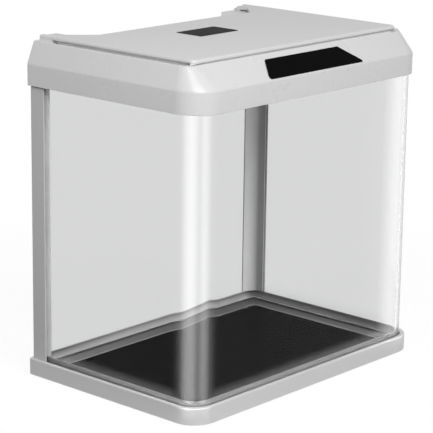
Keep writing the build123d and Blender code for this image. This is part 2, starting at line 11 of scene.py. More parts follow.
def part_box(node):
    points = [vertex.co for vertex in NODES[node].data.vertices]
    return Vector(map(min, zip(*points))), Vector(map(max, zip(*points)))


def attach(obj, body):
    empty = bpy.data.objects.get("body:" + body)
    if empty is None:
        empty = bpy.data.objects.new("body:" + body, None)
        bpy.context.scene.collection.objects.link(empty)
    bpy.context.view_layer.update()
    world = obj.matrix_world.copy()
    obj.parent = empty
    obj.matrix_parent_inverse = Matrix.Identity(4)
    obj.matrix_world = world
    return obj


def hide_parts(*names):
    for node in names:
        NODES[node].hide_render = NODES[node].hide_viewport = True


bl_info = {
    "name": "Small Aquarium",
    "version": (1, 0, 0),
    "blender": (4, 5, 0),
    "location": "3D View > Sidebar > Aquarium",
    "description": "Finishes the pieces of a small bent glass aquarium and its studio",
    "category": "Object",
}

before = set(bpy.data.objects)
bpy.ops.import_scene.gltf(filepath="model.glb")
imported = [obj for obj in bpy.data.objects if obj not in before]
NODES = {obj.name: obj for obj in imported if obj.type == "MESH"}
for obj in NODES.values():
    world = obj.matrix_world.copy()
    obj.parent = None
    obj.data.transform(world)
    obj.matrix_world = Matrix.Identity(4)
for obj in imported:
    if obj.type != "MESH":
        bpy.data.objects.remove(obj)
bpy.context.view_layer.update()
GLASS_LOW, GLASS_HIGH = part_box("bent_glass")
REAR_PANE_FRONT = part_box("rear_glass")[0].y
FLOOR_SEAL_LOW, FLOOR_SEAL_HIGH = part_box("floor_seal")

# Mesh work
WELD = 0.000003  # vertices this close together are one
NEAR = 1e-6  # places this close together count as the same
EDGE_TURN = 32.0  # degrees by which most pieces turn at an edge that is rounded off
BEAD_CORNER_STEPS = 12  # facets round each front corner of the floor bead
SEAM_ROUNDING = 0.9  # how much of a seam bead's lip its rounding takes

# Glass. The panes' index is under that of real glass, which tears the view through the bends.
PANE_INDEX = 1.12
FLOOR_PANE_INDEX = 1.02
COAT_INDEX = 1.5
MIRROR_BEND = (0.0, 0.12)  # product of the normal's X and Y parts, from a flat pane to a full mirror
MIRROR_FOOT = (0.020, 0.029)  # heights over which the mirror at the foot fades out
MIRROR_END = (0.096, 0.118)  # places along X over which the mirror at the right end fades in
RIGHT_LEDGE_SHADE_SPAN = (0.122, 0.130)  # places along X over which painted shade darkens the floor pane and the ledge seen through it
LEDGE_PAINTED_SHADE = 0.7  # how much of the floor pane's light the painted shade leaves there
GROUND_EDGE = 0.6  # grey of the floor pane's ground edges

# Silicone
FLOOR_BEAD_SHADE = 0.6  # grey of the floor bead, as a share of the seam beads' grey
RIGHT_RUN_SHADE_SPAN = (0.126, 0.136)  # places along X over which painted shade darkens the floor bead at the right wall
RIGHT_RUN_PAINTED_SHADE = 0.30  # how much of its grey the painted shade leaves there
BOND_FOOT_LIGHT_SPAN = (0.0145, 0.0175)  # heights over which painted light on a bond fades out above the base's rim, against the shade there
BOND_FOOT_PAINTED_LIGHT = 2.2  # how many times paler that painted light makes it at the bottom

# Lamp beside the camera
KEY_PLACE = (-0.72, -1.00, 1.18)
KEY_TARGET = (0.0, 0.0, 0.16)
KEY_SIZE = 0.9

# White cards that the bent glass mirrors
CARD_HEIGHT = 0.305
CARD_LIFT = 0.003  # how high above the floor they stand
CARD_FADE = 0.045  # height over which a card dims towards its top
CARD_FOOT = 0.03  # height of its foot; satin surfaces see it dim from there to its middle, and no more
CARD_FOOT_GLOW = 4.0  # how many times brighter the foot is to satin surfaces than to the glass

# Floor
FLOOR_RADIUS = 3.0
FLOOR_FACETS = 96
FAR_FLOOR = (0.25, 0.60)  # distances from the middle over which the floor turns plain white
STRIP_PLACE = -0.27  # place along X of a painted shadow beside the left wall: a strip that throws little light back
STRIP_EDGE = (0.04, 0.16)  # distances from its middle line over which the strip ends
STRIP_SHARE = 0.1  # what it throws back, as a share of the rest

# Surroundings
MIRRORED_WHITE = 0.8  # how bright the white round the tank is in a mirror image


# Settings


def colour(label, text, default):
    """A colour that the sidebar shows with a swatch."""
    return FloatVectorProperty(
        name=label, description=text, subtype="COLOR", size=3, min=0.0, max=1.0, default=default
    )


def length(label, text, default):
    """A length in metres."""
    return FloatProperty(
        name=label, description=text, subtype="DISTANCE", unit="LENGTH", min=0.0, default=default
    )


def angle(label, text, degrees):
    """An angle, which the sidebar shows in degrees."""
    return FloatProperty(name=label, description=text, subtype="ANGLE", default=math.radians(degrees))


def share(label, text, default):
    """A grey, or a part of a whole, from 0 to 1."""
    return FloatProperty(name=label, description=text, min=0.0, max=1.0, default=default)


def amount(label, text, default):
    """A power or a brightness, with no upper limit."""
    return FloatProperty(name=label, description=text, min=0.0, default=default)


def count(label, text, default, least, most):
    """A number of facets or passes."""
    return IntProperty(name=label, description=text, min=least, max=most, default=default)


class AquariumColours(bpy.types.PropertyGroup):
    """Colours of the aquarium's materials"""

    hood_plastic: colour("Hood plastic", "Pale grey of the hood and the lid", (0.74, 0.74, 0.74))
    base_plastic: colour("Base plastic", "Grey of the base frame", (0.70, 0.70, 0.70))
    post_plastic: colour("Post plastic", "Grey of the rear corner posts", (0.60, 0.60, 0.60))
    pane_tint: colour("Pane tint", "What one upright pane lets through", (0.820, 0.822, 0.822))
    floor_pane_tint: colour("Floor pane tint", "What the floor pane lets through", (0.78, 0.78, 0.78))
    silicone: share("Silicone", "Grey of the silicone beads", 0.24)
    # painted light: a bead's grey runs from the grey above to this one as its side turns to face the
    # lamps
    silicone_lit_grey: share("Thin silicone", "Grey where a bead thins out", 0.85)
    # partly painted light: faces pressed against a pane, which the lamps hardly reach, are painted this
    # paler grey
    silicone_lit_bond: share("Bonded silicone", "Grey where a bead is bonded to a pane", 0.80)
    floor_mat: colour("Floor mat", "Black of the mat under the floor pane", (0.006, 0.006, 0.006))
    foot_rubber: colour("Foot rubber", "Black of the feet", (0.03, 0.03, 0.03))
    label_plate: colour("Label plates", "Black of the two bare plates", (0.006, 0.006, 0.006))
    lamp_plastic: colour("Lamp plastic", "White of the lamp tray", (0.80, 0.80, 0.79))
    board: colour("Circuit board", "White solder mask of the board", (0.82, 0.83, 0.81))
    diode: colour("Diodes", "Yellow cap of each diode", (0.86, 0.72, 0.20))
    lens: colour("Lamp lens", "Milky cover of the lamp", (0.88, 0.88, 0.88))
    inlet_plastic: colour("Inlet plastic", "Black of the lamp inlet", (0.025, 0.025, 0.025))
    lead: colour("Lamp lead", "Black sheath of the inner lead", (0.03, 0.03, 0.03))
    steel: colour("Steel", "Pins, screws and nut", (0.58, 0.58, 0.57))


class AquariumSizes(bpy.types.PropertyGroup):
    """Sizes of the finish that the solids leave out"""

    glass_thickness: length("Glass thickness", "Thickness of the upright panes", 0.004)
    glass_bend: length("Glass bend", "Outside radius of the two bent corners", 0.020)
    glass_polish: length("Polished edge", "Width of the polished edges of the panes", 0.0004)
    bend_steps: count("Bend steps", "Facets in each bent corner", 40, 4, 96)
    bend_ease: count("Bend easing", "Smoothing passes where a bend runs out into flat glass", 60, 0, 200)
    bend_run_out: length("Bend run-out", "Length of flat glass beside a bend that is eased", 0.016)
    bead_lip: length("Bead lip", "Thickness of a bead at its two edges", 0.0005)
    bead_hollow: length("Bead hollow", "Depth of the hollow in a bead's face", 0.0011)
    bead_steps: count("Bead steps", "Facets across a bead's hollow face", 8, 2, 24)
    right_seam_stretch: FloatProperty(
        name="Right seam stretch",
        description="How far the right seam bead is wiped out along the rear pane",
        min=1.0,
        max=1.3,
        default=1.24,
    )
    hood_edge: length("Hood edges", "Rounding of the hood's moulded edges", 0.0004)
    lid_edge: length("Lid edges", "Rounding of the lid's lip", 0.00035)
    base_edge: length("Base edges", "Rounding of the base frame's edges", 0.0009)
    small_edge: length("Small edges", "Rounding of the small fittings", 0.00025)
    plate_edge: length("Plate edges", "Rounding of the label plates", 0.00015)


class AquariumStudio(bpy.types.PropertyGroup):
    """Camera, light and floor"""

    yaw: angle("Yaw", "Camera's turn round the tank", -48.244)
    pitch: angle("Pitch", "Camera's height above the horizon", 14.513)
    roll: angle("Roll", "Camera's lean", 0.786)
    distance: length("Distance", "From the camera to its target", 1.7069)
    target_side: FloatProperty(
        name="Target side",
        description="Target's place to the right of the tank's middle",
        subtype="DISTANCE",
        default=-0.01027,
    )
    target_height: length("Target height", "Target's height above the floor", 0.13514)
    focal: FloatProperty(
        name="Focal length", description="Lens in millimetres on a 36 mm sensor", min=1.0, default=159.39
    )
    key_power: amount("Key lamp", "Power of the large lamp beside the camera, in watts", 17.5)
    ambient: amount("Ambient", "Light that comes evenly from all sides", 0.37)
    card_glow: amount("Card glow", "Brightness of the white cards that the glass mirrors", 5.2)
    floor_grey: share("Floor grey", "How pale the floor is to the lamps", 0.12)
    floor_bounce: share("Floor bounce", "How much light the floor throws back at the tank", 0.62)
    floor_glow: share("Floor glow", "White that the camera adds to the floor", 0.91)


# Node work that the materials share


def cleared(owner):
    """The node tree of a material or a world, emptied."""
    owner.use_nodes = True
    owner.node_tree.nodes.clear()
    return owner.node_tree


def bare_material(name):
    """A material with nothing but its output."""
    material = bpy.data.materials.new(name)
    tree = cleared(material)
    tree.nodes.new("ShaderNodeOutputMaterial")
    return material, tree


def surface(tree):
    """The socket that takes a material's finished shader."""
    return tree.nodes["Material Output"].inputs["Surface"]


def new_material(name):
    """A material with one main shader wired to its output."""
    material, tree = bare_material(name)
    shader = tree.nodes.new("ShaderNodeBsdfPrincipled")
    tree.links.new(shader.outputs["BSDF"], surface(tree))
    return material, tree, shader


def mix_shaders(tree, factor, first, second):
    """The first shader where the factor is 0, the second where it is 1."""
    mix = tree.nodes.new("ShaderNodeMixShader")
    tree.links.new(factor, mix.inputs["Fac"])
    tree.links.new(first, mix.inputs[1])
    tree.links.new(second, mix.inputs[2])
    return mix.outputs["Shader"]


def add_shaders(tree, first, second):
    """Both shaders' light together."""
    both = tree.nodes.new("ShaderNodeAddShader")
    tree.links.new(first, both.inputs[0])
    tree.links.new(second, both.inputs[1])
    return both.outputs["Shader"]


def feed(tree, value, socket):
    """Gives a socket its value, which is a number or another node's output."""
    if isinstance(value, (int, float)):
        socket.default_value = value
    else:
        tree.links.new(value, socket)


def reckon(tree, operation, first, second=None):
    """Result of a sum with one or two values, each of them an output or a number."""
    node = tree.nodes.new("ShaderNodeMath")
    node.operation = operation
    feed(tree, first, node.inputs[0])
    if second is not None:
        feed(tree, second, node.inputs[1])
    return node.outputs["Value"]


def spread(tree, source, low, high, start=0.3, end=0.7, soft=False):
    """Turns a value's run from start to end, or a pattern's middle range, into one from low to high."""
    node = tree.nodes.new("ShaderNodeMapRange")
    node.inputs["From Min"].default_value = start
    node.inputs["From Max"].default_value = end
    node.inputs["To Min"].default_value = low
    node.inputs["To Max"].default_value = high
    if soft:
        node.interpolation_type = "SMOOTHSTEP"
    tree.links.new(source, node.inputs["Value"])
    return node.outputs["Result"]


def place_coordinates(tree, stretch=(1.0, 1.0, 1.0)):
    """The piece's own coordinates in metres, stretched along an axis where a finish runs that way."""
    source = tree.nodes.new("ShaderNodeTexCoord")
    mapping = tree.nodes.new("ShaderNodeMapping")
    mapping.inputs["Scale"].default_value = stretch
    tree.links.new(source.outputs["Object"], mapping.inputs["Vector"])
    return mapping.outputs["Vector"]


def axis_parts(tree, source):
    """The X, Y and Z parts of a vector."""
    parts = tree.nodes.new("ShaderNodeSeparateXYZ")
    tree.links.new(source, parts.inputs["Vector"])
    return parts.outputs["X"], parts.outputs["Y"], parts.outputs["Z"]


def facing(tree, normal):
    """How squarely a surface faces along X, Y and Z, from 0 to 1 each, by one of its two normals."""
    shape = tree.nodes.new("ShaderNodeNewGeometry")
    return [reckon(tree, "ABSOLUTE", part) for part in axis_parts(tree, shape.outputs[normal])]


def ray_is(tree, kind):
    """1 for rays of one kind, such as Camera or Shadow, and 0 for the rest."""
    return tree.nodes.new("ShaderNodeLightPath").outputs[f"Is {kind} Ray"]


def noise(tree, per_metre, detail=2.0, stretch=(1.0, 1.0, 1.0)):
    """Soft random pattern with so many waves to the metre."""
    texture = tree.nodes.new("ShaderNodeTexNoise")
    texture.inputs["Scale"].default_value = per_metre
    texture.inputs["Detail"].default_value = detail
    tree.links.new(place_coordinates(tree, stretch), texture.inputs["Vector"])
    return texture.outputs["Fac"]


def mottle(tree, source, base, drift):
    """Colour that drifts with a pattern, by such a share darker and lighter."""
    mix = tree.nodes.new("ShaderNodeMix")
    mix.data_type = "RGBA"
    mix.inputs[6].default_value = [c * (1 - drift) for c in base] + [1.0]
    mix.inputs[7].default_value = [min(1.0, c * (1 + drift)) for c in base] + [1.0]
    tree.links.new(spread(tree, source, 0.0, 1.0), mix.inputs[0])
    return mix.outputs[2]


def emboss(tree, shader, source, strength, depth):
    """Fine relief on a shader, from a pattern that is so deep in metres."""
    bump = tree.nodes.new("ShaderNodeBump")
    bump.inputs["Strength"].default_value = strength
    bump.inputs["Distance"].default_value = depth
    tree.links.new(source, bump.inputs["Height"])
    tree.links.new(bump.outputs["Normal"], shader.inputs["Normal"])


def colour_and_gloss(tree, shader, tint, roughness):
    """Feeds a pattern of colour and one of roughness into a shader."""
    tree.links.new(tint, shader.inputs["Base Color"])
    tree.links.new(roughness, shader.inputs["Roughness"])


# Materials


def moulded_plastic(name, base, roughness, drift=0.008, grain=0.012):
    """Injection-moulded plastic: faint flow marks, a fine grain and an even satin gloss."""
    material, tree, shader = new_material(name)
    tint = mottle(tree, noise(tree, per_metre=14.0), base, drift)
    gloss = spread(tree, noise(tree, per_metre=45.0), roughness - 0.012, roughness + 0.012)
    colour_and_gloss(tree, shader, tint, gloss)
    shader.inputs["IOR"].default_value = 1.46
    emboss(tree, shader, noise(tree, per_metre=1800.0, detail=1.0), strength=grain, depth=0.00006)
    return material


def mirror_mask(tree):
    """1 in the bent pane's bends, along its lower edge and near its right end, 0 in its flat middle."""
    across, along, _ = facing(tree, "Normal")
    right, _, height = axis_parts(tree, place_coordinates(tree))
    bends = spread(tree, reckon(tree, "MULTIPLY", across, along), 0.0, 1.0, *MIRROR_BEND)
    foot = spread(tree, height, 1.0, 0.0, *MIRROR_FOOT)
    end = reckon(tree, "MULTIPLY", spread(tree, right, 0.0, 1.0, *MIRROR_END), along)
    return reckon(tree, "MAXIMUM", reckon(tree, "MAXIMUM", bends, foot), end)


def clear_glass(name, tint, index):
    """Polished float glass that lets the light of the lamps through."""
    material, tree, shader = new_material(name)
    shader.inputs["Base Color"].default_value = (*tint, 1.0)
    shader.inputs["Roughness"].default_value = 0.0
    shader.inputs["IOR"].default_value = index
    shader.inputs["Transmission Weight"].default_value = 1.0
    emboss(tree, shader, noise(tree, per_metre=7.0, detail=0.0), strength=0.003, depth=0.0006)
    clear = tree.nodes.new("ShaderNodeBsdfTransparent")
    clear.inputs["Color"].default_value = [math.sqrt(c) for c in tint] + [1.0]
    glass = mix_shaders(tree, ray_is(tree, "Shadow"), shader.outputs["BSDF"], clear.outputs["BSDF"])
    tree.links.new(glass, surface(tree))
    return material


def mirroring_glass(name, tint):
    """The bent pane's glass: in its bends, at its foot and near its right end it mirrors the cards."""
    material = clear_glass(name, tint, PANE_INDEX)
    tree = material.node_tree
    shader = tree.nodes["Principled BSDF"]
    tree.links.new(mirror_mask(tree), shader.inputs["Coat Weight"])
    shader.inputs["Coat Roughness"].default_value = 0.0
    shader.inputs["Coat IOR"].default_value = COAT_INDEX
    return material


def floor_glass(name, tint):
    """The floor pane's glass: almost unbent light, painted shade along the right wall, and pale ground
    edges.
    """
    material = clear_glass(name, tint, FLOOR_PANE_INDEX)
    tree = material.node_tree
    glass = surface(tree).links[0].from_socket
    right, _, _ = axis_parts(tree, place_coordinates(tree))
    # painted shade: the floor pane, and the ledge seen through it, darken along the right wall
    painted_shade_tint = spread(tree, right, tint[0], tint[0] * LEDGE_PAINTED_SHADE, *RIGHT_LEDGE_SHADE_SPAN)
    tree.links.new(painted_shade_tint, tree.nodes["Principled BSDF"].inputs["Base Color"])
    ground = tree.nodes.new("ShaderNodeBsdfDiffuse")
    # the ground edges carry the same painted shade along the right wall
    grey = spread(tree, right, GROUND_EDGE, GROUND_EDGE * LEDGE_PAINTED_SHADE, *RIGHT_LEDGE_SHADE_SPAN)
    tree.links.new(grey, ground.inputs["Color"])
    edge = spread(tree, facing(tree, "True Normal")[2], 1.0, 0.0, start=0.1, end=0.6)
    tree.links.new(mix_shaders(tree, edge, glass, ground.outputs["BSDF"]), surface(tree))
    return material


def silicone_rubber(name, base, lit_grey, lit_bond_grey, lit_axis, shade=1.0, foot=1.0):
    """Neutral silicone: a soft milky bead with painted light and shade on it.

    Its grey runs from the base grey to the paler one as its surface turns to face along the given axis,
    1 for Y and 2 for Z: painted light on the side that faces the lamps. Faces pressed against a pane are
    paler, partly painted light where the lamps hardly reach. Along the right wall its grey carries
    painted shade, and down at the rim of the base its bond carries painted light.
    """
    material, tree, shader = new_material(name)
    right, _, height = axis_parts(tree, place_coordinates(tree))
    # painted light and shade: paler where the surface faces along the given axis, darker where it turns
    # away
    grey_with_painted_light = spread(tree, facing(tree, "Normal")[lit_axis], base, lit_grey, start=0.56, end=1.0)
    # painted shade along the right wall
    grey_with_painted_light = reckon(tree, "MULTIPLY", grey_with_painted_light, spread(tree, right, 1.0, shade, *RIGHT_RUN_SHADE_SPAN))
    # partly painted light: faces pressed against a pane, which the lamps hardly reach, take the paler
    # bond grey
    flat = facing(tree, "True Normal")
    if lit_axis == 2:
        bond_light = spread(tree, flat[2], lit_bond_grey, 0.0, start=0.01, end=0.05)
    else:
        square = reckon(tree, "MAXIMUM", flat[0], flat[1])
        bond_light = spread(tree, square, 0.0, lit_bond_grey, start=0.999, end=0.9999)
    # painted light: the bond is made paler down at the base's rim, against the shade there
    bond_light = reckon(tree, "MULTIPLY", bond_light, spread(tree, height, foot, 1.0, *BOND_FOOT_LIGHT_SPAN))
    clouds = spread(tree, noise(tree, per_metre=25.0), 0.97, 1.03)
    tint = reckon(tree, "MULTIPLY", reckon(tree, "MAXIMUM", grey_with_painted_light, bond_light), clouds)
    colour_and_gloss(tree, shader, tint, spread(tree, noise(tree, per_metre=40.0), 0.34, 0.42))
    shader.inputs["IOR"].default_value = 1.41
    shader.inputs["Specular IOR Level"].default_value = 0.3
    emboss(tree, shader, noise(tree, per_metre=60.0, detail=1.0), strength=0.06, depth=0.0002)
    return material


def matt_rubber(name, base, roughness, pebbles, depth, gloss=0.25):
    """Rubber or foam with a pebbled surface, so many pebbles to the metre."""
    material, tree, shader = new_material(name)
    tint = mottle(tree, noise(tree, per_metre=110.0, detail=3.0), base, drift=0.18)
    wear = spread(tree, noise(tree, per_metre=60.0), roughness - 0.06, roughness + 0.06)
    colour_and_gloss(tree, shader, tint, wear)
    shader.inputs["Specular IOR Level"].default_value = gloss
    cells = tree.nodes.new("ShaderNodeTexVoronoi")
    cells.inputs["Scale"].default_value = pebbles
    tree.links.new(place_coordinates(tree), cells.inputs["Vector"])
    emboss(tree, shader, cells.outputs["Distance"], strength=0.3, depth=depth)
    return material


def drawn_steel(name, base, along):
    """Bright steel with fine lines along its length, which lies along axis 0, 1 or 2."""
    material, tree, shader = new_material(name)
    stretch = tuple(0.04 if axis == along else 1.0 for axis in range(3))
    lines = noise(tree, per_metre=3000.0, stretch=stretch)
    colour_and_gloss(tree, shader, mottle(tree, lines, base, drift=0.06), spread(tree, lines, 0.20, 0.34))
    shader.inputs["Metallic"].default_value = 1.0
    emboss(tree, shader, lines, strength=0.08, depth=0.00003)
    return material


def gloss_plate(name, base):
    """Printed black film: glossy, with a trace of orange peel."""
    material, tree, shader = new_material(name)
    tint = mottle(tree, noise(tree, per_metre=40.0), base, drift=0.10)
    colour_and_gloss(tree, shader, tint, spread(tree, noise(tree, per_metre=70.0), 0.16, 0.24))
    shader.inputs["IOR"].default_value = 1.3
    shader.inputs["Specular IOR Level"].default_value = 0.004
    emboss(tree, shader, noise(tree, per_metre=500.0, detail=1.0), strength=0.03, depth=0.00005)
    return material


def milky_plastic(name, base):
    """Opal plastic of the lamp's cover."""
    material, tree, shader = new_material(name)
    tint = mottle(tree, noise(tree, per_metre=30.0), base, drift=0.02)
    colour_and_gloss(tree, shader, tint, spread(tree, noise(tree, per_metre=200.0), 0.42, 0.52))
    shader.inputs["Transmission Weight"].default_value = 0.45
    emboss(tree, shader, noise(tree, per_metre=900.0, detail=1.0), strength=0.10, depth=0.00005)
    return material


# Pieces


def dress(node_name, material):
    """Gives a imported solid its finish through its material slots."""
    for slot in NODES[node_name].material_slots:
        slot.material = material


def welded_copy(node_name):
    """A welded copy of a solid's mesh, with its flat faces made whole."""
    shape = bmesh.new()
    shape.from_mesh(NODES[node_name].data)
    bmesh.ops.remove_doubles(shape, verts=shape.verts, dist=WELD)
    bmesh.ops.dissolve_limit(
        shape,
        angle_limit=math.radians(0.4),
        verts=shape.verts,
        edges=shape.edges,
        delimit={"NORMAL"},
    )
    return shape


def made_object(name, shape, material):
    """An object at the origin that takes over a finished shape."""
    mesh = bpy.data.meshes.new(name)
    shape.to_mesh(mesh)
    shape.free()
    mesh.materials.append(material)
    made = bpy.data.objects.new(name, mesh)
    bpy.context.scene.collection.objects.link(made)
    return made


def place_piece(shape, name, body, nodes, material):
    """Makes an object of a finished shape and puts it in the place of its solids."""
    bmesh.ops.recalc_face_normals(shape, faces=shape.faces)
    piece = made_object(name, shape, material)
    for face in piece.data.polygons:
        face.use_smooth = True
    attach(piece, body)
    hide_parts(*nodes)
    return piece


def round_edges(piece, width, steps=2, least_turn=EDGE_TURN):
    """Rounds the edges that turn by more than so many degrees, and keeps a piece's flat faces flat."""
    bevel = piece.modifiers.new("Rounded edges", "BEVEL")
    bevel.width = width
    bevel.segments = steps
    bevel.limit_method = "ANGLE"
    bevel.angle_limit = math.radians(least_turn)
    bevel.miter_outer = "MITER_ARC"
    weights = piece.modifiers.new("Flat faces", "WEIGHTED_NORMAL")
    weights.keep_sharp = True
    weights.weight = 80


def rounded_copy(node_name, name, body, material, width, least_turn=EDGE_TURN):
    """Stands in for a solid with the same shape and its edges rounded off."""
    piece = place_piece(welded_copy(node_name), name, body, [node_name], material)
    round_edges(piece, width, least_turn=least_turn)


def picked(made, kind):
    """The vertices or the edges among what an operator made."""
    return [item for item in made["geom"] if isinstance(item, kind)]


def plan_face(shape, low, high, level, radius, steps):
    """A flat face seen from above, whose two front corners the bevel operator rounds."""
    verts = bmesh.ops.create_grid(shape, x_segments=1, y_segments=1, size=1.0)["verts"]
    half = ((high[0] - low[0]) / 2, (high[1] - low[1]) / 2, 1.0)
    middle = ((low[0] + high[0]) / 2, (low[1] + high[1]) / 2, level)
    bmesh.ops.scale(shape, vec=half, verts=verts)
    bmesh.ops.translate(shape, vec=middle, verts=verts)
    bmesh.ops.bevel(
        shape,
        geom=[v for v in verts if v.co.y < middle[1]],
        offset=radius,
        offset_type="OFFSET",
        segments=steps,
        profile=0.5,
        affect="VERTICES",
        material=-1,
        clamp_overlap=False,
    )


def ease_bends(shape, sizes):
    """Lets the bends of the pane's outline run out softly into the flat glass."""
    tangent_x = GLASS_HIGH.x - sizes.glass_bend
    tangent_y = GLASS_LOW.y + sizes.glass_bend
    step = sizes.glass_bend * math.pi / 2 / sizes.bend_steps
    cuts = [(i + 1) * step for i in range(int(sizes.bend_run_out / step))]
    planes = [((side * (tangent_x - cut), 0, 0), (1, 0, 0)) for cut in cuts for side in (-1, 1)]
    planes += [((0, tangent_y + cut, 0), (0, 1, 0)) for cut in cuts]
    for place, normal in planes:
        bmesh.ops.bisect_plane(
            shape, geom=shape.verts[:] + shape.edges[:], dist=1e-7, plane_co=place, plane_no=normal
        )
    inner_x = tangent_x - cuts[-1] + step / 2
    inner_y = tangent_y + cuts[-1] - step / 2
    eased = [v for v in shape.verts if abs(v.co.x) > inner_x and v.co.y < inner_y]
    for _ in range(sizes.bend_ease):
        bmesh.ops.smooth_vert(
            shape, verts=eased, factor=0.5, use_axis_x=True, use_axis_y=True, use_axis_z=False
        )


def bent_pane(sizes, glass):
    """One pane round three sides: its outline on the plan, drawn up and given its thickness inwards."""
    shape = bmesh.new()
    rear_right = (GLASS_HIGH.x, REAR_PANE_FRONT)
    plan_face(shape, GLASS_LOW, rear_right, GLASS_LOW.z, sizes.glass_bend, sizes.bend_steps)
    rear_edges = [e for e in shape.edges if all(abs(v.co.y - REAR_PANE_FRONT) < NEAR for v in e.verts)]
    bmesh.ops.delete(shape, geom=rear_edges, context="EDGES")
    ease_bends(shape, sizes)
    wall = bmesh.ops.extrude_edge_only(shape, edges=shape.edges[:])
    rise = (0, 0, GLASS_HIGH.z - GLASS_LOW.z)
    bmesh.ops.translate(shape, vec=rise, verts=picked(wall, bmesh.types.BMVert))
    bmesh.ops.recalc_face_normals(shape, faces=shape.faces)
    front = min(shape.faces, key=lambda f: f.calc_center_median().y)
    if front.normal.y > 0:
        bmesh.ops.reverse_faces(shape, faces=shape.faces)
    bmesh.ops.solidify(shape, geom=shape.faces[:], thickness=sizes.glass_thickness)
    pane = place_piece(shape, "bent_front_pane", "tank", ["bent_glass"], glass)
    round_edges(pane, sizes.glass_polish, least_turn=60.0)


def bead_section(sizes, width, rise):
    """Points of a bead's cross section as (distance from the glass, height over the floor pane)."""
    lip = sizes.bead_lip
    top, end = Vector((lip, rise)), Vector((width, lip))
    middle = (top + end) / 2
    inward = Vector((-(rise - lip), -(width - lip))).normalized()
    half = (end - top).length / 2
    hollow = sizes.bead_hollow
    radius = (half * half + hollow * hollow) / (2 * hollow)
    centre = middle - inward * (radius - hollow)
    start = math.atan2(top.y - centre.y, top.x - centre.x)
    sweep = math.atan2(end.y - centre.y, end.x - centre.x) - start
    sweep = (sweep + math.pi) % (2 * math.pi) - math.pi
    points = [(0.0, 0.0), (0.0, rise)]
    for step in range(sizes.bead_steps + 1):
        turn = start + sweep * step / sizes.bead_steps
        points.append((centre.x + radius * math.cos(turn), centre.y + radius * math.sin(turn)))
    points.append((width, 0.0))
    return points


def move_ring(shape, verts, bend, before, after):
    """Moves a ring from one point of the bead's section to the next, round front corners included."""
    low, high = FLOOR_SEAL_LOW, FLOOR_SEAL_HIGH
    shift = after[0] - before[0]
    bmesh.ops.translate(shape, vec=(0, 0, after[1] - before[1]), verts=verts)
    for side in (-1, 1):
        own = [v for v in verts if v.co.x * side > 0]
        edge = high.x if side > 0 else low.x
        centre = Vector((edge - side * bend, low.y + bend, 0.0))
        ratio = (bend - after[0]) / (bend - before[0])
        front = [v for v in own if v.co.y < centre.y + NEAR]
        rear = [v for v in own if v.co.y > centre.y + NEAR]
        bmesh.ops.scale(shape, vec=(ratio, ratio, 1.0), space=Matrix.Translation(-centre), verts=front)
        bmesh.ops.translate(shape, vec=(-side * shift, -shift, 0), verts=rear)


def floor_bead(sizes, silicone):
    """Bead round the floor pane: the floor's outline, drawn on from point to point of its section."""
    low, high = FLOOR_SEAL_LOW, FLOOR_SEAL_HIGH
    bend = sizes.glass_bend - sizes.glass_thickness
    shape = bmesh.new()
    plan_face(shape, low, high, low.z, bend, BEAD_CORNER_STEPS)
    bmesh.ops.delete(shape, geom=shape.faces[:], context="FACES_ONLY")
    edges = shape.edges[:]
    section = bead_section(sizes, high.z - low.z, high.z - low.z)
    for before, after in zip(section, section[1:] + section[:1]):
        made = bmesh.ops.extrude_edge_only(shape, edges=edges)
        edges = picked(made, bmesh.types.BMEdge)
        move_ring(shape, picked(made, bmesh.types.BMVert), bend, before, after)
    bmesh.ops.remove_doubles(shape, verts=shape.verts, dist=WELD)
    place_piece(shape, "floor_bead", "tank", ["floor_seal"], silicone)


def seam_bead(side, stretch, lip, silicone):
    """Bead up a rear corner, wiped out along the rear pane from its corner."""
    node_name = f"{side}_seam_seal"
    shape = welded_copy(node_name)
    corner = max((v.co.x for v in shape.verts), key=abs)
    from_corner = Matrix.Translation((-corner, 0.0, 0.0))
    bmesh.ops.scale(shape, vec=(stretch, 1.0, 1.0), space=from_corner, verts=shape.verts)
    bead = place_piece(shape, f"{side}_seam_bead", "tank", [node_name], silicone)
    round_edges(bead, lip * SEAM_ROUNDING, steps=3, least_turn=40.0)


class AQUARIUM_OT_base_frame(bpy.types.Operator):
    """Base frame of moulded grey plastic, with its edges rounded"""

    bl_idname = "aquarium.base_frame"
    bl_label = "Base frame"

    def execute(self, context):
        colours = context.scene.aquarium_colours
        edge = context.scene.aquarium_sizes.base_edge
        plastic = moulded_plastic("base_plastic", colours.base_plastic, roughness=0.30)
        rounded_copy("base_frame", "base_frame_moulding", "tank", plastic, edge)
        return {"FINISHED"}


class AQUARIUM_OT_feet(bpy.types.Operator):
    """Four round rubber feet with a soft edge"""

    bl_idname = "aquarium.feet"
    bl_label = "Feet"

    def execute(self, context):
        black = context.scene.aquarium_colours.foot_rubber
        edge = context.scene.aquarium_sizes.base_edge
        rubber = matt_rubber("foot_rubber", black, roughness=0.75, pebbles=2500.0, depth=0.0001)
        rounded_copy("base_feet", "rubber_feet", "tank", rubber, edge)
        return {"FINISHED"}


class AQUARIUM_OT_floor_mat(bpy.types.Operator):
    """Black mat under the floor pane"""

    bl_idname = "aquarium.floor_mat"
    bl_label = "Floor mat"

    def execute(self, context):
        black = context.scene.aquarium_colours.floor_mat
        foam = matt_rubber("mat_foam", black, roughness=0.85, pebbles=1500.0, depth=0.00015, gloss=0.0)
        dress("floor_mat", foam)
        return {"FINISHED"}


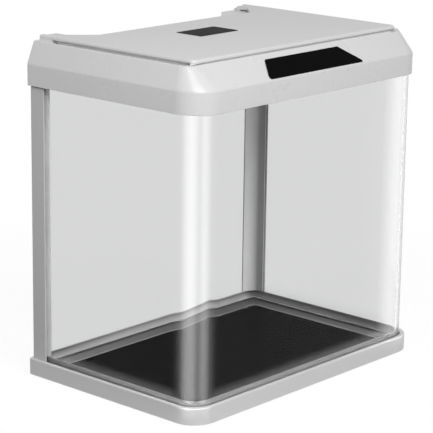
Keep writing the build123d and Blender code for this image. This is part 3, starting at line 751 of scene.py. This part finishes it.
class AQUARIUM_OT_panes(bpy.types.Operator):
    """Bent front pane, rear pane and floor pane of polished glass"""

    bl_idname = "aquarium.panes"
    bl_label = "Panes"

    def execute(self, context):
        colours = context.scene.aquarium_colours
        sizes = context.scene.aquarium_sizes
        bent_pane(sizes, mirroring_glass("upright_glass", colours.pane_tint))
        rear = clear_glass("rear_glass", colours.pane_tint, PANE_INDEX)
        rounded_copy("rear_glass", "rear_pane", "tank", rear, sizes.glass_polish)
        floor = floor_glass("floor_glass", colours.floor_pane_tint)
        rounded_copy("bottom_glass", "floor_pane", "tank", floor, sizes.glass_polish)
        return {"FINISHED"}


class AQUARIUM_OT_beads(bpy.types.Operator):
    """Silicone beads with a hollow face, along the floor and up both rear corners"""

    bl_idname = "aquarium.beads"
    bl_label = "Silicone beads"

    def execute(self, context):
        colours = context.scene.aquarium_colours
        sizes = context.scene.aquarium_sizes
        # the second grey is painted light on the beads' sides that face the lamps
        grey, lit_grey = colours.silicone, colours.silicone_lit_grey
        seam = silicone_rubber("seam_silicone", grey, lit_grey, lit_bond_grey=colours.silicone_lit_bond, lit_axis=1)
        floor = silicone_rubber(
            "floor_silicone",
            base=FLOOR_BEAD_SHADE * grey,
            lit_grey=FLOOR_BEAD_SHADE * lit_grey,
            lit_bond_grey=grey,
            lit_axis=2,
            shade=RIGHT_RUN_PAINTED_SHADE,
            foot=BOND_FOOT_PAINTED_LIGHT,
        )
        floor_bead(sizes, floor)
        seam_bead("left", 1.0, sizes.bead_lip, seam)
        seam_bead("right", sizes.right_seam_stretch, sizes.bead_lip, seam)
        return {"FINISHED"}


class AQUARIUM_OT_posts(bpy.types.Operator):
    """Two corner posts behind the glass"""

    bl_idname = "aquarium.posts"
    bl_label = "Corner posts"

    def execute(self, context):
        colours = context.scene.aquarium_colours
        edge = context.scene.aquarium_sizes.small_edge
        plastic = moulded_plastic("post_plastic", colours.post_plastic, roughness=0.42)
        for side in ("left", "right"):
            rounded_copy(f"{side}_rear_post", f"{side}_post", "tank", plastic, edge)
        return {"FINISHED"}


class AQUARIUM_OT_hood(bpy.types.Operator):
    """Hood moulding with softened edges"""

    bl_idname = "aquarium.hood"
    bl_label = "Hood"

    def execute(self, context):
        colours = context.scene.aquarium_colours
        edge = context.scene.aquarium_sizes.hood_edge
        plastic = moulded_plastic("hood_plastic", colours.hood_plastic, roughness=0.28)
        rounded_copy("hood_shell", "hood_moulding", "hood", plastic, edge)
        return {"FINISHED"}


class AQUARIUM_OT_lid(bpy.types.Operator):
    """Flip-up lid with a rounded lip"""

    bl_idname = "aquarium.lid"
    bl_label = "Lid"

    def execute(self, context):
        colours = context.scene.aquarium_colours
        edge = context.scene.aquarium_sizes.lid_edge
        plastic = moulded_plastic("lid_plastic", colours.hood_plastic, roughness=0.40)
        rounded_copy("lid_panel", "lid", "lid", plastic, edge, least_turn=28.0)
        return {"FINISHED"}


class AQUARIUM_OT_hinge_pins(bpy.types.Operator):
    """Two steel hinge pins"""

    bl_idname = "aquarium.hinge_pins"
    bl_label = "Hinge pins"

    def execute(self, context):
        colours = context.scene.aquarium_colours
        edge = context.scene.aquarium_sizes.small_edge
        steel = drawn_steel("pin_steel", colours.steel, along=0)
        for side in ("left", "right"):
            rounded_copy(f"{side}_hinge_pin", f"{side}_pin", "hood", steel, edge)
        return {"FINISHED"}


class AQUARIUM_OT_lamp(bpy.types.Operator):
    """Lamp tray with its board, diodes, lens and screws"""

    bl_idname = "aquarium.lamp"
    bl_label = "Lamp"

    def execute(self, context):
        colours = context.scene.aquarium_colours
        sizes = context.scene.aquarium_sizes
        tray = moulded_plastic("lamp_plastic", colours.lamp_plastic, roughness=0.42)
        rounded_copy("lamp_housing", "lamp_tray", "hood", tray, sizes.small_edge)
        solder_mask = moulded_plastic("board_mask", colours.board, roughness=0.45, drift=0.03, grain=0.02)
        dress("led_board", solder_mask)
        cap = moulded_plastic("diode_cap", colours.diode, roughness=0.25, drift=0.10, grain=0.02)
        rounded_copy("leds", "diodes", "hood", cap, sizes.small_edge)
        opal = milky_plastic("lamp_opal", colours.lens)
        rounded_copy("lamp_lens", "lamp_cover", "hood", opal, sizes.small_edge)
        steel = drawn_steel("screw_steel", colours.steel, along=2)
        rounded_copy("lamp_screws", "tray_screws", "hood", steel, sizes.plate_edge)
        return {"FINISHED"}


class AQUARIUM_OT_inlet(bpy.types.Operator):
    """Lamp inlet with its nut and the lead inside the hood"""

    bl_idname = "aquarium.inlet"
    bl_label = "Lamp inlet"

    def execute(self, context):
        colours = context.scene.aquarium_colours
        edge = context.scene.aquarium_sizes.plate_edge
        black = moulded_plastic("inlet_plastic", colours.inlet_plastic, roughness=0.40)
        rounded_copy("power_inlet", "inlet_socket", "hood", black, edge)
        steel = drawn_steel("nut_steel", colours.steel, along=1)
        rounded_copy("inlet_nut", "socket_nut", "hood", steel, edge)
        sheath = matt_rubber("lead_sheath", colours.lead, roughness=0.45, pebbles=1800.0, depth=0.00003)
        dress("lamp_lead", sheath)
        return {"FINISHED"}


class AQUARIUM_OT_plates(bpy.types.Operator):
    """Two bare black plates, on the front of the hood and on the lid"""

    bl_idname = "aquarium.plates"
    bl_label = "Label plates"

    def execute(self, context):
        colours = context.scene.aquarium_colours
        edge = context.scene.aquarium_sizes.plate_edge
        film = gloss_plate("black_film", colours.label_plate)
        rounded_copy("front_label_plate", "front_plate", "hood", film, edge)
        rounded_copy("lid_label_plate", "lid_plate", "lid", film, edge)
        return {"FINISHED"}


# Studio


def aim(place, target):
    """Turns something at a place so that its -Z axis points at a target."""
    turn = (Vector(target) - Vector(place)).to_track_quat("-Z", "Y")
    return Matrix.Translation(place) @ turn.to_matrix().to_4x4()


def place_camera(studio):
    """Camera that sees the tank as the photograph does."""
    yaw, pitch, roll = studio.yaw, studio.pitch, studio.roll
    back = Vector((math.sin(yaw) * math.cos(pitch), -math.cos(yaw) * math.cos(pitch), math.sin(pitch)))
    level = Vector((math.cos(yaw), math.sin(yaw), 0.0))
    upright = back.cross(level)
    right = math.cos(roll) * level + math.sin(roll) * upright
    up = math.cos(roll) * upright - math.sin(roll) * level
    target = studio.target_side * level
    target.z = studio.target_height
    data = bpy.data.cameras.new("camera")
    data.sensor_width = 36.0
    data.lens = studio.focal
    data.clip_end = 50.0
    camera = bpy.data.objects.new("camera", data)
    bpy.context.scene.collection.objects.link(camera)
    turn = Matrix((right, up, back)).transposed().to_4x4()
    camera.matrix_world = Matrix.Translation(target + back * studio.distance) @ turn
    bpy.context.scene.camera = camera


def key_lamp(power):
    """Large square lamp beside the camera."""
    data = bpy.data.lights.new("key_lamp", "AREA")
    data.shape = "RECTANGLE"
    data.size = KEY_SIZE
    data.size_y = KEY_SIZE
    data.energy = power
    lamp = bpy.data.objects.new("key_lamp", data)
    bpy.context.scene.collection.objects.link(lamp)
    lamp.matrix_world = aim(KEY_PLACE, KEY_TARGET)


def glowing(tree, brightness):
    """White light, where a brightness of 1 is white."""
    light = tree.nodes.new("ShaderNodeEmission")
    feed(tree, brightness, light.inputs["Strength"])
    return light.outputs["Emission"]


def white_for_sight(tree):
    """1 for rays that look at something straight, through glass or in a mirror, 0 for the rest."""
    straight = reckon(tree, "MAXIMUM", ray_is(tree, "Camera"), ray_is(tree, "Transmission"))
    return reckon(tree, "MAXIMUM", straight, ray_is(tree, "Glossy"))


def card_material(name, width, glow):
    """White light that fades towards a card's side edges and its top.

    A sharp mirror image shows the whole card, and satin surfaces are lit by its foot alone.
    """
    material, tree = bare_material(name)
    across, upwards, _ = axis_parts(tree, place_coordinates(tree))
    top = CARD_HEIGHT / 2
    light = spread(tree, reckon(tree, "ABSOLUTE", across), glow, 0.0, 0.0, width / 2, soft=True)
    upper = spread(tree, upwards, 1.0, 0.0, top - CARD_FADE, top, soft=True)
    light = reckon(tree, "MULTIPLY", light, upper)
    sharp = ray_is(tree, "Singular")
    satin = spread(tree, upwards, CARD_FOOT_GLOW, 0.0, CARD_FOOT - top, 0.0)
    satin = reckon(tree, "MULTIPLY", satin, reckon(tree, "SUBTRACT", 1.0, sharp))
    light = reckon(tree, "MULTIPLY", light, reckon(tree, "MAXIMUM", sharp, satin))
    clear = tree.nodes.new("ShaderNodeBsdfTransparent")
    tree.links.new(add_shaders(tree, glowing(tree, light), clear.outputs["BSDF"]), surface(tree))
    return material


def light_card(name, corner, bearing, reach, width, glow):
    """Upright white card that faces a bent corner and shows only where it is mirrored.

    Its bearing from the corner is in degrees, counted from -X towards -Y.
    """
    shape = bmesh.new()
    verts = bmesh.ops.create_grid(shape, x_segments=1, y_segments=1, size=0.5)["verts"]
    bmesh.ops.scale(shape, vec=(width, CARD_HEIGHT, 1.0), verts=verts)
    card = made_object(name, shape, card_material(name, width, glow))
    turn = math.radians(bearing)
    away = Vector((-math.cos(turn), -math.sin(turn), 0.0))
    target = Vector((*corner, CARD_HEIGHT / 2 + CARD_LIFT))
    card.matrix_world = aim(target + away * reach, target)
    card.visible_camera = False
    card.visible_diffuse = False
    card.visible_transmission = False
    card.visible_shadow = False


def light_cards(bend, glow):
    """Three cards round the left bend and one at the right bend."""
    left = (GLASS_LOW.x + bend, GLASS_LOW.y + bend)
    right = (GLASS_HIGH.x - bend, GLASS_LOW.y + bend)
    light_card("left_card", left, bearing=19.9, reach=0.06, width=0.113, glow=glow)
    light_card("front_card", left, bearing=81.5, reach=0.06, width=0.074, glow=glow * 0.71)
    light_card("middle_card", left, bearing=49.0, reach=0.07, width=0.16, glow=glow * 0.25)
    light_card("right_card", right, bearing=122.0, reach=0.06, width=0.07, glow=glow * 0.52)


def floor_material(studio):
    """Plain pale floor: white where it is looked at, with the object's soft shadow; its bounce has a
    painted shadow.
    """
    material, tree = bare_material("pale_floor")
    side, _, _ = axis_parts(tree, place_coordinates(tree))
    # painted shadow: beside the left wall the floor throws little light back at the tank
    from_strip = reckon(tree, "ABSOLUTE", reckon(tree, "SUBTRACT", side, STRIP_PLACE))
    bounce = studio.floor_bounce
    shade = spread(tree, from_strip, bounce * STRIP_SHARE, bounce, *STRIP_EDGE)
    shade = reckon(tree, "MULTIPLY", shade, ray_is(tree, "Diffuse"))
    shade = reckon(tree, "MAXIMUM", shade, studio.floor_grey)
    clouds = spread(tree, noise(tree, per_metre=3.0), 0.98, 1.0)
    matt = tree.nodes.new("ShaderNodeBsdfDiffuse")
    tree.links.new(reckon(tree, "MULTIPLY", shade, clouds), matt.inputs["Color"])
    sight = white_for_sight(tree)
    glow = glowing(tree, reckon(tree, "MULTIPLY", sight, studio.floor_glow))
    near = add_shaders(tree, matt.outputs["BSDF"], glow)
    distance = tree.nodes.new("ShaderNodeVectorMath")
    distance.operation = "LENGTH"
    tree.links.new(place_coordinates(tree), distance.inputs[0])
    far = reckon(tree, "MULTIPLY", spread(tree, distance.outputs["Value"], 0.0, 1.0, *FAR_FLOOR), sight)
    far = reckon(tree, "MAXIMUM", far, ray_is(tree, "Transmission"))
    tree.links.new(mix_shaders(tree, far, near, glowing(tree, 1.0)), surface(tree))
    return material


def lay_floor(studio):
    """Round floor under the tank."""
    shape = bmesh.new()
    bmesh.ops.create_circle(shape, cap_ends=True, segments=FLOOR_FACETS, radius=FLOOR_RADIUS)
    made_object("floor", shape, floor_material(studio))


def set_world(studio):
    """White where it is looked at or seen through glass, and an even soft light otherwise."""
    world = bpy.data.worlds.new("studio")
    bpy.context.scene.world = world
    tree = cleared(world)
    soft = tree.nodes.new("ShaderNodeBackground")
    soft.inputs["Strength"].default_value = studio.ambient
    white = tree.nodes.new("ShaderNodeBackground")
    white.inputs["Color"].default_value = (1.0, 1.0, 1.0, 1.0)
    mirrored = spread(tree, ray_is(tree, "Glossy"), 1.0, MIRRORED_WHITE, start=0.0, end=1.0)
    tree.links.new(mirrored, white.inputs["Strength"])
    both = mix_shaders(tree, white_for_sight(tree), soft.outputs[0], white.outputs[0])
    output = tree.nodes.new("ShaderNodeOutputWorld")
    tree.links.new(both, output.inputs["Surface"])


class AQUARIUM_OT_stage(bpy.types.Operator):
    """Camera, pale floor, lamp, cards and world"""

    bl_idname = "aquarium.stage"
    bl_label = "Stage"

    def execute(self, context):
        studio = context.scene.aquarium_studio
        place_camera(studio)
        lay_floor(studio)
        key_lamp(studio.key_power)
        light_cards(context.scene.aquarium_sizes.glass_bend, studio.card_glow)
        set_world(studio)
        context.scene.view_settings.view_transform = "Standard"
        return {"FINISHED"}


# Registration

GROUPS = (
    (AquariumSizes, "aquarium_sizes"),
    (AquariumColours, "aquarium_colours"),
    (AquariumStudio, "aquarium_studio"),
)

OPERATORS = (
    AQUARIUM_OT_base_frame,
    AQUARIUM_OT_feet,
    AQUARIUM_OT_floor_mat,
    AQUARIUM_OT_panes,
    AQUARIUM_OT_beads,
    AQUARIUM_OT_posts,
    AQUARIUM_OT_hood,
    AQUARIUM_OT_lid,
    AQUARIUM_OT_hinge_pins,
    AQUARIUM_OT_lamp,
    AQUARIUM_OT_inlet,
    AQUARIUM_OT_plates,
    AQUARIUM_OT_stage,
)


class AQUARIUM_PT_panel(bpy.types.Panel):
    """Sizes, colours and steps of the aquarium"""

    bl_idname = "AQUARIUM_PT_panel"
    bl_label = "Small Aquarium"
    bl_space_type = "VIEW_3D"
    bl_region_type = "UI"
    bl_category = "Aquarium"

    def draw(self, context):
        layout = self.layout
        for _, name in GROUPS:
            box = layout.box()
            settings = getattr(context.scene, name)
            for setting in settings.__annotations__:
                box.prop(settings, setting)
        for operator in OPERATORS:
            layout.operator(operator.bl_idname)


def register():
    for group, name in GROUPS:
        bpy.utils.register_class(group)
        setattr(bpy.types.Scene, name, PointerProperty(type=group))
    for operator in OPERATORS:
        bpy.utils.register_class(operator)
    bpy.utils.register_class(AQUARIUM_PT_panel)


def unregister():
    bpy.utils.unregister_class(AQUARIUM_PT_panel)
    for operator in reversed(OPERATORS):
        bpy.utils.unregister_class(operator)
    for group, name in reversed(GROUPS):
        delattr(bpy.types.Scene, name)
        bpy.utils.unregister_class(group)


def main():
    """Registers the add-on, then makes every piece and the studio in order."""
    register()
    for operator in OPERATORS:
        getattr(bpy.ops.aquarium, operator.bl_idname.split(".")[1])()


if __name__ == "__main__":
    main()
